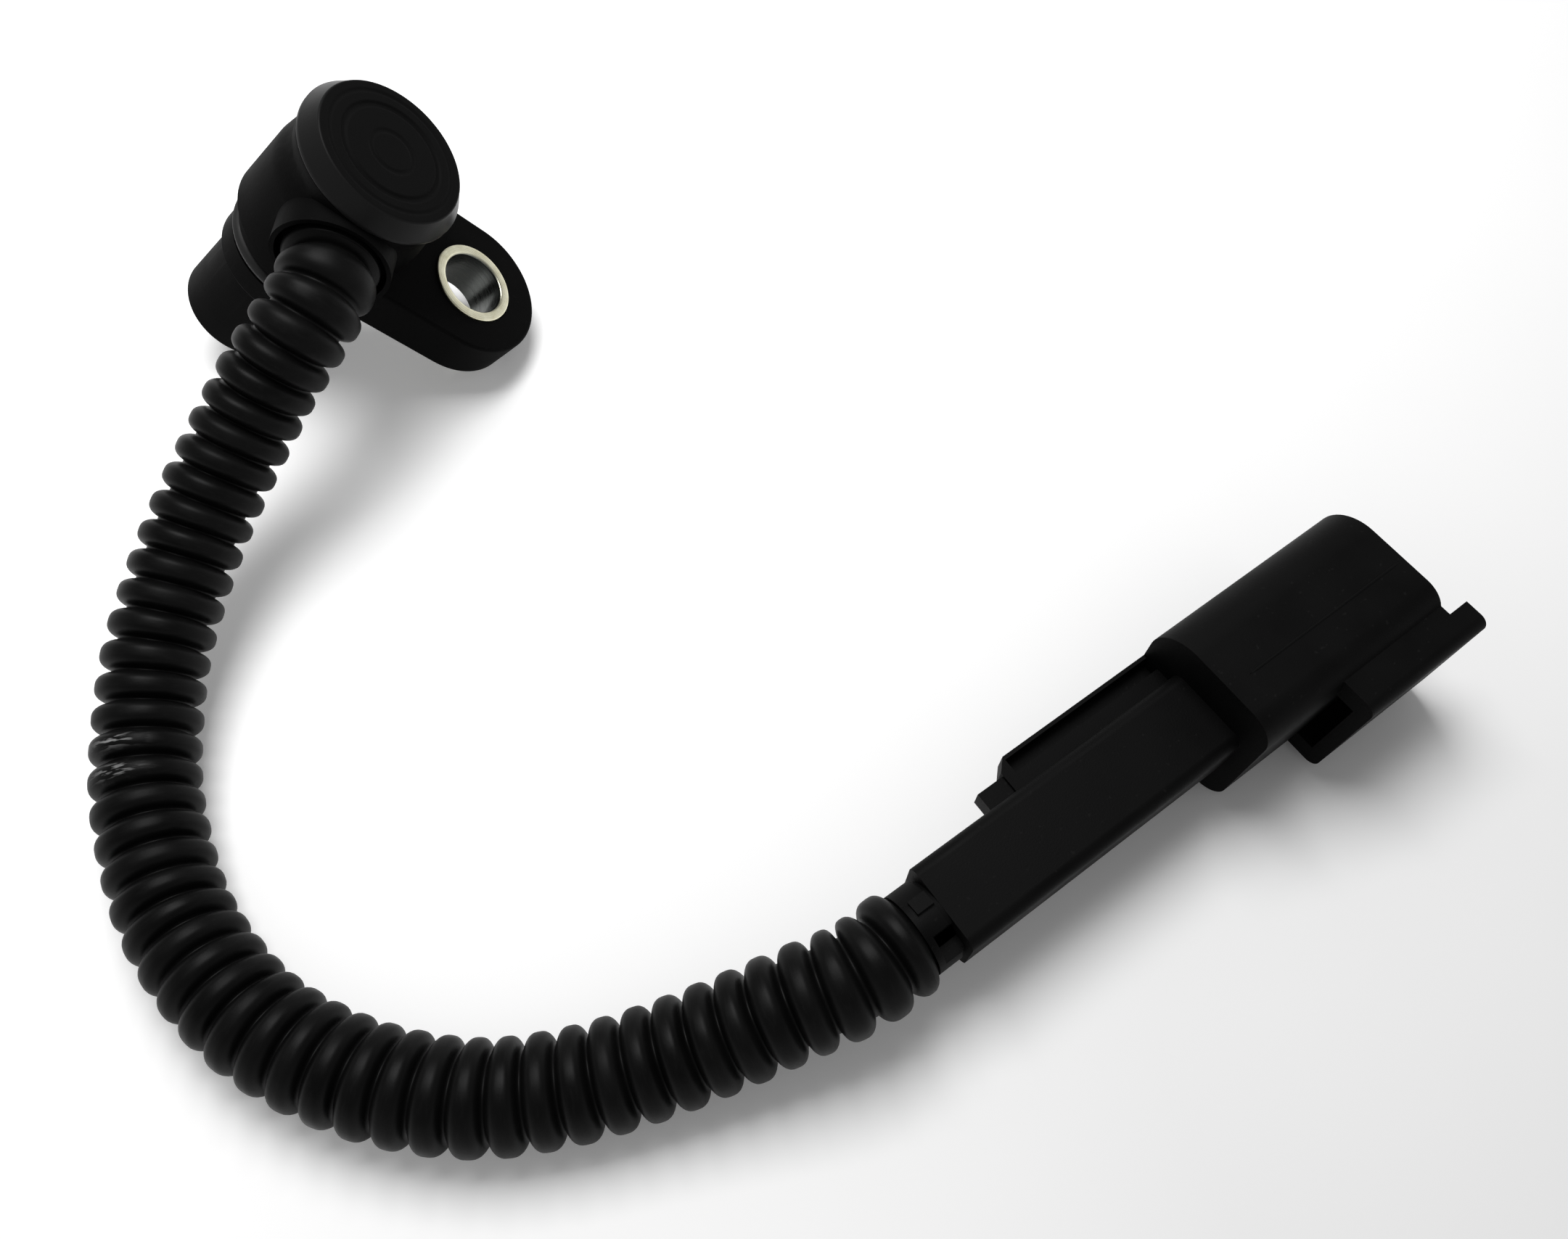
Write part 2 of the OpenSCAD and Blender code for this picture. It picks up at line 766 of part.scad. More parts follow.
sensor_housing();
rear_cap();
compression_limiter();
o_ring();
pole_piece();
magnet();
coil_bobbin();
coil_winding();
head_terminal(-1);  // head_terminal_1
head_terminal(1);  // head_terminal_2
lead_wire(-1, [0.12, 0.12, 0.12]);  // lead_wire_1
lead_wire(1, [0.35, 0.24, 0.16]);  // lead_wire_2
conduit();
conduit_collar();
connector_housing();
blade_terminal(-1);  // blade_terminal_1
blade_terminal(1);  // blade_terminal_2
wire_seal(-1);  // wire_seal_1
wire_seal(1);  // wire_seal_2
secondary_lock();
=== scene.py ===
# %% [markdown]
# # A crankshaft position sensor on a white table
# The sensor is a black moulded head with a bolt flange, a corrugated conduit and a two-way connector.
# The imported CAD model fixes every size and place. This script adds what CAD leaves plain: the conduit's
# corrugations, turned and softened surfaces, the finish of every piece, a table, light and a camera.

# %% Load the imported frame
import json
import math

import bmesh
import bpy
import numpy as np
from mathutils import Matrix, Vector


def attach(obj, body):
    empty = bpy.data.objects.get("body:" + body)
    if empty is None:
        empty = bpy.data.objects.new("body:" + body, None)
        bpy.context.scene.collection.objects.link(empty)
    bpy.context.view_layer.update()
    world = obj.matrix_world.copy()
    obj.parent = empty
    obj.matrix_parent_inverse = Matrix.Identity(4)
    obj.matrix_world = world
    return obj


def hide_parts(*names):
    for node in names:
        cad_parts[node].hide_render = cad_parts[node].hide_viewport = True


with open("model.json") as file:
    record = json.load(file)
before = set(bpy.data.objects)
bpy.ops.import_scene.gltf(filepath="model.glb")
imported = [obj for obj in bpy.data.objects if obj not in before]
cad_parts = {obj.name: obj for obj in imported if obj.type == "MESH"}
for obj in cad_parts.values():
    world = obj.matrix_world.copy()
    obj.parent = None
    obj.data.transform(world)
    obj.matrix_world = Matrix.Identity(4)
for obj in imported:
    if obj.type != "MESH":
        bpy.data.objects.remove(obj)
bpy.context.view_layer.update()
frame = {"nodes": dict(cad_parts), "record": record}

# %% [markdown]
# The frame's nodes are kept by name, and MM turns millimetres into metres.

MM = 0.001
nodes = frame["nodes"]
print("CAD nodes:", len(nodes))

# %% [markdown]
# ## Camera
# The photograph looks steeply down from close by, so near things are drawn much larger than far ones.
# A camera could be turned by eye until the outlines agree. Here its place, heading and dip were worked
# out from the part's own sizes in the picture, and the lens follows from the focal length in pixels.

# %% Place the camera
image_w = 2161
focal_px = 1618.9
sensor_w = 36
camera_at = (-16.13 * MM, -108.61 * MM, 115.39 * MM)
camera_heading = math.radians(35.6)
camera_dip = math.radians(63.23)

lens = bpy.data.cameras.new("camera")
lens.sensor_width = sensor_w
lens.lens = sensor_w * focal_px / image_w
lens.clip_start = 1 * MM
camera = bpy.data.objects.new("camera", lens)
camera.location = camera_at
camera.rotation_euler = (math.pi / 2 - camera_dip, 0, -camera_heading)
bpy.context.collection.objects.link(camera)
bpy.context.scene.camera = camera
print("Lens:", round(lens.lens, 2), "mm")

# %% [markdown]
# ## The head's own axes
# The head leans on its nose and flange, so nothing in it is level. Its mounts are in the record: the bolt
# hole gives the direction towards the cap, and the foot of the nose's axis gives the centre. With three
# axes of its own, every head piece can be worked out upright and then turned into place as one array.

# %% Head axes from the mounts
mounts = {mount["name"]: mount for mount in frame["record"]["mounts"]}
bolt_at = np.array(mounts["bolt_hole"]["pos_m"])
nose_at = np.array(mounts["nose"]["pos_m"])
face_at = np.array(mounts["flange_face"]["pos_m"])
cap_way = np.array(mounts["bolt_hole"]["axis"])
head_at = nose_at + cap_way * ((face_at - nose_at) @ cap_way)
flange_way = bolt_at - head_at - cap_way * ((bolt_at - head_at) @ cap_way)
bolt_reach = np.linalg.norm(flange_way)
flange_way /= bolt_reach
side_way = np.cross(cap_way, flange_way)
head_axes = np.array([flange_way, side_way, cap_way])


def from_head(points):
    """Turns points given along flange, side and cap into the shared frame."""
    return head_at + np.asarray(points) @ head_axes


print("Bolt reach:", round(bolt_reach / MM, 2), "mm")

# %% [markdown]
# ## Surfaces as grids
# Every new piece here is a grid of points: rows along the piece and columns around it. Modelling by hand
# would push and pull such a grid. Worked out as one array it is exact, and it can be changed by a number.
# This helper joins each cell of a grid into a face, and can close the grid along its rows too.

# %% A grid of points becomes a mesh
pole_merge = 0.0001 * MM


def surface(name, points, closed_rows=False, attributes=None):
    """Makes one quad for each cell of points[row, column]. Columns always close round. Rows that shrink to
    a point are merged into a pole. Each attribute is an array of one number for each point."""
    rows, columns = points.shape[:2]
    cell_rows = rows if closed_rows else rows - 1
    row, column = np.meshgrid(np.arange(cell_rows), np.arange(columns), indexing="ij")
    next_row = (row + 1) % rows
    next_column = (column + 1) % columns
    corners = [row * columns + column, row * columns + next_column,
               next_row * columns + next_column, next_row * columns + column]
    quads = np.stack(corners, axis=-1).reshape(-1, 4)
    mesh = bpy.data.meshes.new(name)
    mesh.from_pydata(points.reshape(-1, 3), [], quads.tolist())
    for label, values in (attributes or {}).items():
        layer = mesh.attributes.new(label, "FLOAT", "POINT")
        grid = np.broadcast_to(values, (rows, columns))
        layer.data.foreach_set("value", grid.astype(np.float32).ravel())
    tidy = bmesh.new()
    tidy.from_mesh(mesh)
    bmesh.ops.remove_doubles(tidy, verts=tidy.verts, dist=pole_merge)
    bmesh.ops.recalc_face_normals(tidy, faces=tidy.faces)
    tidy.to_mesh(mesh)
    tidy.free()
    mesh.shade_smooth()
    piece = bpy.data.objects.new(name, mesh)
    bpy.context.collection.objects.link(piece)
    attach(piece, "root")
    print(name, "has", len(mesh.polygons), "faces")
    return piece


# %% [markdown]
# ## Conduit
# A conduit is blown from plastic in a chain of moulds, so it is a row of equal beads that lets the tube
# bend. It could be a curve with a bevel, but that gives a plain tube. The route repeats the CAD stops, in
# metres. A Catmull-Rom curve passes through every stop with no corner.

# %% The conduit's route
boss_height = 7.6 * MM
boss_reach = 9.8 * MM
cup_floor = 7.8 * MM
end_straight = 1 * MM
collar_face = np.array([0.006, -0.0973, 0.0086])
collar_straight = 6 * MM
route_steps = 24
boss_stops = from_head([[0, -y, boss_height] for y in (cup_floor, cup_floor + end_straight, boss_reach)])
free_stops = np.array([
    (-0.0056, -0.0125, 0.0230), (-0.0096, -0.0145, 0.0217), (-0.0145, -0.0158, 0.0190),
    (-0.0190, -0.0173, 0.0163), (-0.0235, -0.0194, 0.0140), (-0.0285, -0.0223, 0.0117),
    (-0.0335, -0.0262, 0.0097), (-0.0383, -0.0310, 0.0080), (-0.0422, -0.0365, 0.0065),
    (-0.0452, -0.0425, 0.0057), (-0.0470, -0.0490, 0.0053), (-0.0479, -0.0555, 0.0050),
    (-0.0474, -0.0622, 0.0050), (-0.0457, -0.0689, 0.0050), (-0.0424, -0.0753, 0.0050),
    (-0.0380, -0.0810, 0.0050), (-0.0324, -0.0860, 0.0050), (-0.0258, -0.0896, 0.0050),
    (-0.0189, -0.0922, 0.0054), (-0.0122, -0.0942, 0.0064), (-0.0060, -0.0958, 0.0077),
])
collar_stops = collar_face - np.outer([collar_straight, end_straight, 0], [1, 0, 0])
stops = np.vstack([boss_stops, free_stops, collar_stops])


def smooth_route(stops, steps):
    """Catmull-Rom: between stops b and c the cubic leaves along c - a and arrives along d - b."""
    first, last = 2 * stops[:1] - stops[1:2], 2 * stops[-1:] - stops[-2:-1]
    p = np.vstack([first, stops, last])[:, None]
    a, b, c, d = p[:-3], p[1:-2], p[2:-1], p[3:]
    t = (np.arange(steps) / steps)[None, :, None]
    cubic = 2 * b + (c - a) * t + (2 * a - 5 * b + 4 * c - d) * t**2 + (3 * b - a - 3 * c + d) * t**3
    return np.vstack([0.5 * cubic.reshape(-1, 3), stops[-1:]])


route = smooth_route(stops, route_steps)
route_reach = np.concatenate([[0], np.cumsum(np.linalg.norm(np.diff(route, axis=0), axis=1))])
conduit_length = route_reach[-1]
print("Conduit length:", round(conduit_length / MM, 1), "mm")

# %% [markdown]
# One bead is a squarish superellipse that narrows towards its crest, so the grooves between beads are
# narrow wedges. A row of rings would be rounder than the real beads. The profile's points are spread by
# angle, so that the tight shoulders get more rows than the crest. The wall inside is plain.

# %% One bead, repeated along the route
conduit_r = 5 * MM
groove_r = 3.75 * MM
wall_r = 3.5 * MM
bead_pitch = 3.05 * MM
foot_share = 0.92
crest_squareness = 3
crest_taper = 0.28
bead_rows = 25
beads = round(conduit_length / bead_pitch)
pitch = conduit_length / beads
wall_rows = 3 * beads


def bead_profile(count):
    """Offsets along one pitch and heights from 0 in the groove to 1 on the crest: a superellipse, made
    narrower in step with its height."""
    turn = np.linspace(math.pi, 0, count)
    shape = 2 / crest_squareness
    height = np.sin(turn).clip(0) ** shape
    offset = np.sign(np.cos(turn)) * np.abs(np.cos(turn)) ** shape * (1 - crest_taper * height)
    return 0.5 * pitch * (1 + foot_share * offset), height


offset, height = bead_profile(bead_rows)
bead_start = np.arange(beads)[:, None] * pitch
outer_at = np.concatenate([[0], (bead_start + offset).ravel(), [conduit_length]])
outer_height = np.concatenate([[0], np.tile(height, beads), [0]])
outer_r = groove_r + (conduit_r - groove_r) * outer_height
along = np.concatenate([outer_at, np.linspace(conduit_length, 0, wall_rows)])
crest = np.concatenate([outer_height, np.zeros(wall_rows)])
radius = np.concatenate([outer_r, np.full(wall_rows, wall_r)])
print("Beads:", beads, "of", round(pitch / MM, 2), "mm")

# %% [markdown]
# The profile is carried along the route as a circle that stands square to it. Level and rise are the two
# directions across the route, and the level one stays level, so the tube doesn't twist.

# %% Carry a profile along the route
tube_columns = 56
around = np.linspace(0, 2 * math.pi, tube_columns, endpoint=False)


def on_route(along, values):
    """Values kept for the route's points, read between them at each length along the route."""
    return np.stack([np.interp(along, route_reach, values[:, axis]) for axis in range(3)], axis=1)


def carried(along, radius):
    """A circle of each radius stands square to the route at each length along it."""
    place = on_route(along, route)
    way = on_route(along, np.gradient(route, route_reach, axis=0))
    level = np.cross([0, 0, 1], way)
    level /= np.linalg.norm(level, axis=1, keepdims=True)
    rise = np.cross(way, level)
    rise /= np.linalg.norm(rise, axis=1, keepdims=True)
    turn = around[None, :, None]
    spoke = np.cos(turn) * level[:, None] + np.sin(turn) * rise[:, None]
    return place[:, None] + radius[:, None, None] * spoke


tube_points = carried(along, radius)
print("Conduit grid:", tube_points.shape[:2])

# %% [markdown]
# Two neighbouring beads of the conduit get pale streaks on their upper side, near the place where it comes
# down to the table. That could be painted by hand. Here each point keeps a number that the finish can read,
# and it is largest on the upper side of those two crests.

# %% The conduit, with its two pale-streaked beads
pale_streaks_at = (-0.0433, -0.0394)
pale_streak_beads = 2
pale_streak_length = 0.55 * MM
pale_streak_top, pale_streak_width = math.radians(100), math.radians(22)


def hump(value, middle, width):
    """A bell of height 1 about a middle value."""
    return np.exp(-((value - middle) / width) ** 2)


nearest = np.argmin(np.hypot(*(route[:, :2] - pale_streaks_at).T))
first_bead = np.floor(route_reach[nearest] / pitch)
crest_at = (first_bead + np.arange(pale_streak_beads) + 0.5) * pitch
pale_streak_along = hump(along[:, None], crest_at, pale_streak_length).sum(axis=1) * (crest > 0)
pale_streak_around = hump(around, pale_streak_top, pale_streak_width)
conduit = surface("conduit_tube", tube_points, closed_rows=True, attributes={
    "crest": crest[:, None], "along": along[:, None], "around": around[None],
    "pale_streak": pale_streak_along[:, None] * pale_streak_around})
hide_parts("conduit")

# %% [markdown]
# ## Soft edges on moulded pieces
# No moulded edge is perfectly sharp: each has a small radius that catches a line of light. A CAD node's
# mesh may not be changed, so a copy of it is merged, its flat faces are joined, and a Bevel modifier
# rounds every edge that turns by more than a set angle.

# %% Copy a node and round its edges
node_merge = 0.001 * MM
flat_turn = math.radians(0.5)
hard_turn = math.radians(35)
edge_steps = 3


def softened(node, name, edge):
    """A merged copy of a CAD node whose hard edges are rounded by a bevel of width edge."""
    mesh = nodes[node].data.copy()
    mesh.name = name
    tidy = bmesh.new()
    tidy.from_mesh(mesh)
    bmesh.ops.remove_doubles(tidy, verts=tidy.verts, dist=node_merge)
    bmesh.ops.dissolve_limit(tidy, angle_limit=flat_turn, verts=tidy.verts, edges=tidy.edges)
    tidy.to_mesh(mesh)
    tidy.free()
    mesh.shade_smooth()
    mesh.materials.clear()
    piece = bpy.data.objects.new(name, mesh)
    bpy.context.collection.objects.link(piece)
    bevel = piece.modifiers.new("soft edges", "BEVEL")
    bevel.width = edge
    bevel.segments = edge_steps
    bevel.limit_method = "ANGLE"
    bevel.angle_limit = hard_turn
    weighted = piece.modifiers.new("flat faces", "WEIGHTED_NORMAL")
    weighted.keep_sharp = False
    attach(piece, "root")
    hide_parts(node)
    print(name, "copied from", node, "with", len(mesh.polygons), "faces")
    return piece


housing = softened("sensor_housing", "head_housing", edge=0.3 * MM)
connector = softened("connector_housing", "connector_shell", edge=0.22 * MM)
collar = softened("conduit_collar", "collar_ring", edge=0.12 * MM)
lock = softened("secondary_lock", "retainer_plate", edge=0.15 * MM)
blades = [softened("blade_terminal_" + k, "blade_" + k, edge=0.1 * MM) for k in "12"]

# %% [markdown]
# ## Turned pieces
# The cap, the steel sleeve and the O-ring are round about an axis of the head. A lathe would turn them from
# an outline, and so does this helper. It also keeps each point's distance from the axis and its height, so
# that a finish can run round the piece as tool marks do.

# %% Turn an outline about an axis of the head
lathe_columns = 128
corner_rows = 7


def turned(name, outline, centre, node, closed=False):
    """Each outline point, a distance from the axis and a height, becomes a circle about the centre."""
    reach, level = np.asarray(outline).T
    turn = np.linspace(0, 2 * math.pi, lathe_columns, endpoint=False)
    ring = np.stack([np.outer(reach, np.cos(turn)), np.outer(reach, np.sin(turn)),
                     np.repeat(level[:, None], lathe_columns, axis=1)], axis=-1)
    piece = surface(name, from_head(ring + np.array([centre, 0, 0])), closed_rows=closed,
                    attributes={"reach": reach[:, None], "level": level[:, None]})
    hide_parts(node)
    return piece


def corner(reach, level, r, start):
    """A quarter circle of radius r about a point of the outline, from the start angle and clockwise."""
    turn = np.radians(np.linspace(start, start - 90, corner_rows))
    return np.stack([reach + r * np.cos(turn), level + r * np.sin(turn)], axis=1)


print("Turned pieces have", lathe_columns, "columns")

# %% [markdown]
# The rear cap closes the head after the coil is wired. Its face is a disc with a few low rings, a shoulder
# slopes from it down to the rim, and a skirt plugs the barrel. A disc could be cut and bevelled step by
# step. One outline turned about the axis gives all of it at once, and the rings are soft steps in its
# height.

# %% The rear cap
cap_foot, cap_top = 13.7 * MM, 16.4 * MM
cap_r, skirt_r, skirt_foot = 9 * MM, 6.95 * MM, 11.7 * MM
cap_edge, seam_edge = 0.3 * MM, 0.2 * MM
shoulder_r, shoulder_foot = 8 * MM, 14.4 * MM
face_rows = 90
ring_slope = 0.25 * MM
cap_rings = np.array([(2, 2.7, 0.1), (4.9, 5.7, 0.2), (6.5, 7.1, 0.1)]) * MM


def soft_ring(reach, low, high, depth):
    """A groove between two distances from the axis, whose two sides slope evenly."""
    return -depth * np.clip(np.minimum(reach - low, high - reach) / ring_slope, 0, 1)


face_reach = np.linspace(0, shoulder_r - cap_edge, face_rows)
face_level = cap_top + sum(soft_ring(face_reach, *ring) for ring in cap_rings)
cap_outline = np.vstack([
    np.stack([face_reach, face_level], axis=1),
    corner(shoulder_r - cap_edge, cap_top - cap_edge, cap_edge, 90),
    [(cap_r, shoulder_foot)],
    corner(cap_r - seam_edge, cap_foot + seam_edge, seam_edge, 0),
    [(skirt_r, cap_foot), (skirt_r, skirt_foot), (0, skirt_foot)],
])
cap = turned("head_cap", cap_outline, 0, "rear_cap")

# %% [markdown]
# The compression limiter is a short steel sleeve that takes the bolt's clamping force, so that the plastic
# flange isn't crushed. The mouth of its bore is rounded and its other edges are only broken. A pipe with a
# bevel would have one radius everywhere. In an outline each corner can have its own.

# %% The steel sleeve in the flange
sleeve_r, bolt_hole_r, sleeve_top = 4.8 * MM, 3.6 * MM, 6.3 * MM
rounded, broken = 0.35 * MM, 0.15 * MM
sleeve_outline = np.vstack([
    corner(bolt_hole_r + rounded, sleeve_top - rounded, rounded, 180),
    corner(sleeve_r - broken, sleeve_top - broken, broken, 90),
    corner(sleeve_r - broken, broken, broken, 0),
    corner(bolt_hole_r + broken, broken, broken, -90),
])
sleeve = turned("bolt_sleeve", sleeve_outline, bolt_reach, "compression_limiter", closed=True)

# %% [markdown]
# The O-ring seals the nose in the engine block. It is moulded in two halves, so a fine flash line runs
# round it where they met. Blender's torus has no such line, so the ring's section is an outline of its own.

# %% The O-ring
ring_middle, ring_level, ring_r = 6.95 * MM, -3.6 * MM, 0.8 * MM
flash_share, flash_width = 0.04, 0.08
section_rows = 40
section = np.linspace(-math.pi, math.pi, section_rows, endpoint=False)
section_r = ring_r * (1 + flash_share * hump(section, 0, flash_width))
ring_reach = ring_middle + section_r * np.cos(section)
ring_outline = np.stack([ring_reach, ring_level + section_r * np.sin(section)], axis=1)
seal = turned("seal_ring", ring_outline, 0, "o_ring", closed=True)

# %% [markdown]
# ## A mould line
# The connector's mould parts along the middle of the shroud, and leaves a hair of plastic there. A bump in
# the finish would vanish in the exported shape. It is a flat ellipse along the shroud's top, half sunk into
# it, and stands out by less than a tenth of a millimetre.

# %% The line along the shroud
line_from, line_to, line_y = 44 * MM, 64.4 * MM, -97.7 * MM
line_half, line_rise, shroud_top = 0.14 * MM, 0.07 * MM, 17.2 * MM
line_taper = 1 * MM
line_rows, line_columns = 40, 12


def ridge(x):
    """An ellipse across Y and Z at each x, which shrinks to a point at both ends."""
    turn = np.linspace(0, 2 * math.pi, line_columns, endpoint=False)
    size = np.clip(np.minimum(x - x[0], x[-1] - x) / line_taper, 0, 1)[:, None]
    y = line_y + line_half * size * np.cos(turn)
    z = shroud_top + line_rise * size * np.sin(turn)
    return np.stack([np.repeat(x[:, None], line_columns, axis=1), y, z], axis=-1)


mould_line = surface("mould_line", ridge(np.linspace(line_from, line_to, line_rows)))

# %% [markdown]
# ## What hangs on the conduit
# The conduit leaves the boss and carries the collar and the connector on its far end. Its length from boss
# to collar is printed.

# %% The conduit's length
print("Cord:", round(conduit_length / MM, 1), "mm from boss to collar")

# %% [markdown]
# ## Finishes
# A finish is a small network of nodes. It could be drawn in the shader editor. These helpers add one node
# and wire or set its inputs by name, which keeps each finish as short as a recipe.

# %% Add and wire nodes
def wire(tree, value, socket):
    """Links a socket, or sets a plain value on the input itself."""
    if isinstance(value, bpy.types.NodeSocket):
        tree.links.new(value, socket)
    else:
        socket.default_value = value


def add(tree, kind, settings=None, **inputs):
    """Adds a node, with its settings and its inputs by name."""
    node = tree.nodes.new("ShaderNode" + kind)
    for key, value in (settings or {}).items():
        setattr(node, key, value)
    for key, value in inputs.items():
        wire(tree, value, node.inputs[key.replace("_", " ")])
    return node


# %% [markdown]
# Most of a finish is sums: a value is stretched, two colours are mixed, a noise or a number of the mesh is
# read. Each helper returns the socket that holds its result, so that they can be put inside one another.

# %% Sums, mixes and noise
factor_input, first_colour, second_colour, mixed_colour = 0, 6, 7, 2
cloud_detail, cloud_low, cloud_high = 4, 0.3, 0.7


def maths(tree, operation, first, second=0.0):
    """One sum of two values."""
    node = add(tree, "Math", {"operation": operation})
    wire(tree, first, node.inputs[0])
    wire(tree, second, node.inputs[1])
    return node.outputs[0]


def blend(tree, factor, first, second):
    """Mixes two colours by a factor of 0 to 1. The Mix node's colour sockets are found by their places."""
    node = add(tree, "Mix", {"data_type": "RGBA"})
    wire(tree, factor, node.inputs[factor_input])
    wire(tree, first, node.inputs[first_colour])
    wire(tree, second, node.inputs[second_colour])
    return node.outputs[mixed_colour]


def spread(tree, value, low, high, to_low=0.0, to_high=1.0):
    """Stretches a value from low..high to to_low..to_high, held at both ends."""
    return add(tree, "MapRange", Value=value, From_Min=low, From_Max=high,
               To_Min=to_low, To_Max=to_high).outputs["Result"]


def noise(tree, place, scale, detail=3.0):
    """Noise whose patches are about 1 / scale metres wide."""
    return add(tree, "TexNoise", Vector=place, Scale=scale, Detail=detail).outputs["Fac"]


def clouds(tree, place, scale):
    """Soft patches of 0 to 1: the middle of a noise, stretched."""
    return spread(tree, noise(tree, place, scale, cloud_detail), cloud_low, cloud_high)


def measured(tree, label):
    """A number that the piece keeps for each of its points."""
    return add(tree, "Attribute", {"attribute_name": label}).outputs["Fac"]


def grey(value, tint=1.0):
    """A grey, or with a tint below 1 a warm one."""
    return (value, value * (1 + tint) / 2, value * tint, 1)


# %% [markdown]
# Every finish starts from Blender's Principled shader and ends on a piece. What is the same all over a
# surface, its gloss and whether it is metal, is set on the shader itself.

# %% Start a finish and put it on a piece
def new_finish(name, gloss=0.5, metal=0.0):
    """An empty material with its tree, its shader and the piece's own coordinates."""
    material = bpy.data.materials.new(name)
    material.use_nodes = True
    tree = material.node_tree
    shader = tree.nodes["Principled BSDF"]
    shader.inputs["Specular IOR Level"].default_value = gloss
    shader.inputs["Metallic"].default_value = metal
    return material, tree, shader, add(tree, "TexCoord").outputs["Object"]


def roughen(tree, shader, height, strength, distance):
    """Lets a height stand out of the surface by a distance in metres."""
    bump = add(tree, "Bump", Height=height, Strength=strength, Distance=distance)
    wire(tree, bump.outputs["Normal"], shader.inputs["Normal"])


def dress(piece, material):
    """Gives the whole piece one finish."""
    piece.data.materials.clear()
    piece.data.materials.append(material)
    print(piece.name, "is dressed in", material.name)


# %% [markdown]
# Black moulded plastic is never one black. The grain of the mould scatters light, the melt leaves broad
# clouds of duller and shinier skin, and a little dust settles on whatever faces up. One flat black would
# look cut out of paper. All of it stays close to black, because a satin plastic this dark gets most of its
# tone from what it reflects.

# %% Black moulded plastic
melt_scale, speck_scale, grain_scale = 140, 1700, 5200
speck_low, speck_high = 0.7, 0.76
dusty_from, dust_share, dust_dull = 0.3, 0.07, 0.5
dust_grey = grey(0.05, 0.95)
grain_strength, grain_depth = 0.35, 0.03 * MM


def moulded_black(name, dark, pale, shine, dull, gloss):
    """Clouds go from dark and shiny to pale and dull. Specks of dust grow in step with how far a face looks
    up, and a fine noise is the grain."""
    material, tree, shader, place = new_finish(name, gloss)
    melt = clouds(tree, place, melt_scale)
    up = add(tree, "SeparateXYZ", Vector=add(tree, "NewGeometry").outputs["Normal"]).outputs["Z"]
    specks = spread(tree, noise(tree, place, speck_scale, 1), speck_low, speck_high)
    dust = maths(tree, "MULTIPLY", specks, spread(tree, up, dusty_from, 1, 0, dust_share))
    skin = blend(tree, melt, grey(dark), grey(pale))
    wire(tree, blend(tree, dust, skin, dust_grey), shader.inputs["Base Color"])
    dulled = maths(tree, "MULTIPLY", dust, dust_dull)
    rough = maths(tree, "ADD", spread(tree, melt, 0, 1, shine, dull), dulled)
    wire(tree, rough, shader.inputs["Roughness"])
    roughen(tree, shader, noise(tree, place, grain_scale, 2), grain_strength, grain_depth)
    return material


head_black = moulded_black("head plastic", dark=0.0020, pale=0.0036, shine=0.48, dull=0.64, gloss=0.022)
connector_black = moulded_black("connector plastic", dark=0.0020, pale=0.0036, shine=0.46, dull=0.62,
                                gloss=0.05)
dress(housing, head_black)
for piece in (connector, collar, lock, mould_line):
    dress(piece, connector_black)

# %% [markdown]
# The cap's face has the same dull grain, but its shoulder and side were polished in the mould, so they
# shine more, and they are painted paler as a painted reflection of the room. Two materials would meet in a
# hard line. The distance from the axis, which the turned piece keeps, tells one finish where the shoulder
# begins.

# %% The cap's dull face, and its polished side with a painted reflection
face_gloss, face_scale = 0.06, 160
# The side's grey is a painted reflection, paler than the plastic itself.
face_dark, face_pale, side_painted_reflection = grey(0.0016), grey(0.0028), grey(0.011)
face_shine, face_dull, side_polish = 0.66, 0.78, 0.38
on_side_from, on_side_to = shoulder_r - 0.25 * MM, shoulder_r - 0.05 * MM
face_strength, face_depth = 0.25, 0.025 * MM


def cap_black():
    """The distance from the axis goes from 0 on the face to 1 on the shoulder. It blends the face's clouds
    into a pale grey painted on the side as a reflection, and takes the polish from the roughness."""
    material, tree, shader, place = new_finish("cap plastic", face_gloss)
    on_side = spread(tree, measured(tree, "reach"), on_side_from, on_side_to)
    melt = clouds(tree, place, face_scale)
    skin = blend(tree, melt, face_dark, face_pale)
    wire(tree, blend(tree, on_side, skin, side_painted_reflection), shader.inputs["Base Color"])
    polish = maths(tree, "MULTIPLY", on_side, side_polish)
    rough = maths(tree, "SUBTRACT", spread(tree, melt, 0, 1, face_shine, face_dull), polish)
    wire(tree, rough, shader.inputs["Roughness"])
    roughen(tree, shader, noise(tree, place, grain_scale, 2), face_strength, face_depth)
    return material


dress(cap, cap_black())

# %% [markdown]
# The conduit is softer and shinier than the moulded pieces. Handling rubs its crests first: fine marks run
# round the tube there, and on two beads pale streaks run over the upper side. Noise in space would cut
# across the tube, so the marks read the length along it and the angle around it, which the mesh keeps for
# each point.

# %% Conduit plastic
tube_gloss, tube_scale, tube_grain = 0.075, 220, 4200
tube_dark, tube_pale = grey(0.0024), grey(0.0042)
tube_shine, tube_dull = 0.36, 0.5
worn_grey, worn_share, worn_crest = grey(0.010), 0.3, 0.85
mark_scale, mark_low, mark_high = 4, 0.5, 0.75
pale_streak_grey, pale_streak_dull = grey(0.26), 0.2
streak_scale, streak_low, streak_high = 2.6, 0.5, 0.6
tube_strength, tube_depth = 0.2, 0.03 * MM


